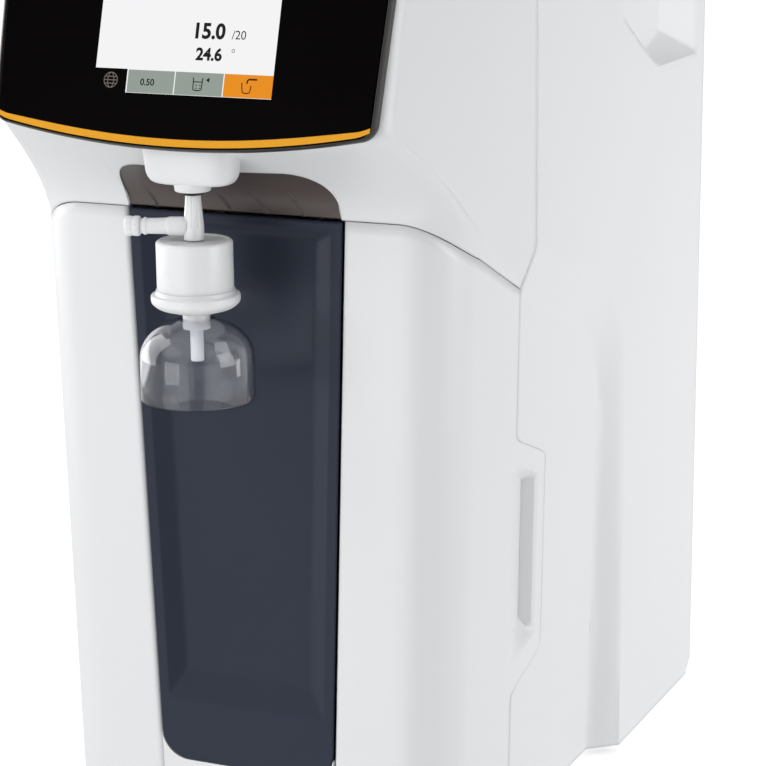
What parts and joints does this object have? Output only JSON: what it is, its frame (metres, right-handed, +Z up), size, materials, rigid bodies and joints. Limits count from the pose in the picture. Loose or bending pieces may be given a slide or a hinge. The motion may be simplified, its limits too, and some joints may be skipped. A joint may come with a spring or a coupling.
{
  "type": "ultrapure water system",
  "caption": "Benchtop water purification dispenser: white housing with a tilted touch display, swing-out doors, a slate bay and an outlet with filter capsule and clear bell.",
  "frame": {"origin": "centre of the bounding box's underside, on the bench under the rubber feet", "axes": "+Z up, +X to the right as seen by the user, -Y towards the user (the display side)"},
  "size_m": [0.28, 0.486, 0.56],
  "materials": {
    "shell_white": "satin",
    "base_grey": "satin",
    "bay_slate": "satin",
    "liner_brown": "satin",
    "bezel_grey": "satin",
    "glass_black": "gloss",
    "stripe_orange": "gloss",
    "panel_dark": "matt",
    "board_green": "matt",
    "capsule_milk": "satin",
    "clear_plastic": "clear",
    "rubber_black": "matt",
    "steel": "brushed",
    "magnet_grey": "plain",
    "cartridge_blue": "satin",
    "inner_black": "satin",
    "lamp_glass": "clear",
    "supply_metal": "plain",
    "manifold_grey": "satin",
    "tube_milk": "satin"
  },
  "bodies": {
    "housing": {"accent_stripe": "stripe_orange", "base_tray": "base_grey", "bay_panel": "bay_slate", "conductivity_cells": "inner_black", "controller_board": "board_green", "data_port": "inner_black", "dispense_valve": "inner_black", "display_bezel": "bezel_grey", "display_glass": "glass_black", "door_magnets": "magnet_grey", "drain_fitting": "manifold_grey", "drain_hose": "tube_milk", "feed_fitting": "manifold_grey", "feed_hose": "tube_milk", "feed_pump": "inner_black", "front_sill": "shell_white", "hinge_pins": "steel", "hood": "shell_white", "inlet_blades": "steel", "inner_frame": "steel", "lcd_panel": "panel_dark", "leak_sensor": "inner_black", "mains_inlet": "inner_black", "manifold_block": "manifold_grey", "outlet_boss": "shell_white", "outlet_hose": "tube_milk", "outlet_o_ring": "rubber_black", "polishing_head": "inner_black", "power_supply": "supply_metal", "rear_housing": "shell_white", "rear_panel": "steel", "rear_panel_screws": "steel", "recess_liner": "liner_brown", "rubber_feet": "rubber_black", "softening_head": "inner_black", "uv_chamber": "steel", "uv_lamp": "lamp_glass"},
    "right_door": {"right_door": "shell_white", "right_catch_plate": "steel"},
    "left_door": {"left_door": "shell_white", "left_catch_plate": "steel"},
    "capsule": {"capsule_neck": "capsule_milk", "capsule_body": "capsule_milk", "capsule_collar": "capsule_milk", "outlet_spout": "capsule_milk", "vent_arm": "capsule_milk", "dispense_bell": "clear_plastic"},
    "vent_cap": {"vent_cap": "capsule_milk"},
    "rocker": {"mains_rocker": "inner_black"},
    "polishing_cartridge": {"polishing_cartridge": "cartridge_blue"},
    "softening_cartridge": {"softening_cartridge": "cartridge_blue"}
  },
  "joints": [
    {"name": "right_door_swing", "type": "hinge", "parent": "housing", "child": "right_door", "pos_m": [0.05706, -0.1635, 0.0146], "axis": [0.0342, 0, 0.9994], "range_deg": [-95, 0]},
    {"name": "left_door_swing", "type": "hinge", "parent": "housing", "child": "left_door", "pos_m": [-0.05706, -0.1635, 0.0146], "axis": [-0.0342, 0, 0.9994], "range_deg": [0, 95]},
    {"name": "capsule_turn", "type": "hinge", "parent": "housing", "child": "capsule", "pos_m": [0, -0.212, 0.409], "axis": [0, 0, 1], "continuous": true},
    {"name": "vent_cap_turn", "type": "hinge", "parent": "capsule", "child": "vent_cap", "pos_m": [-0.02819, -0.22226, 0.391], "axis": [-0.9397, -0.342, 0], "range_deg": [0, 90]},
    {"name": "mains_rocker_tilt", "type": "hinge", "parent": "housing", "child": "rocker", "pos_m": [0.085, 0.217, 0.03], "axis": [1, 0, 0], "range_deg": [-14, 0]},
    {"name": "polishing_cartridge_turn", "type": "hinge", "parent": "housing", "child": "polishing_cartridge", "pos_m": [0.076, -0.099, 0.024], "axis": [0, 0, 1], "range_deg": [0, 90]},
    {"name": "softening_cartridge_turn", "type": "hinge", "parent": "housing", "child": "softening_cartridge", "pos_m": [-0.076, -0.099, 0.024], "axis": [0, 0, 1], "range_deg": [-90, 0]}
  ]
}
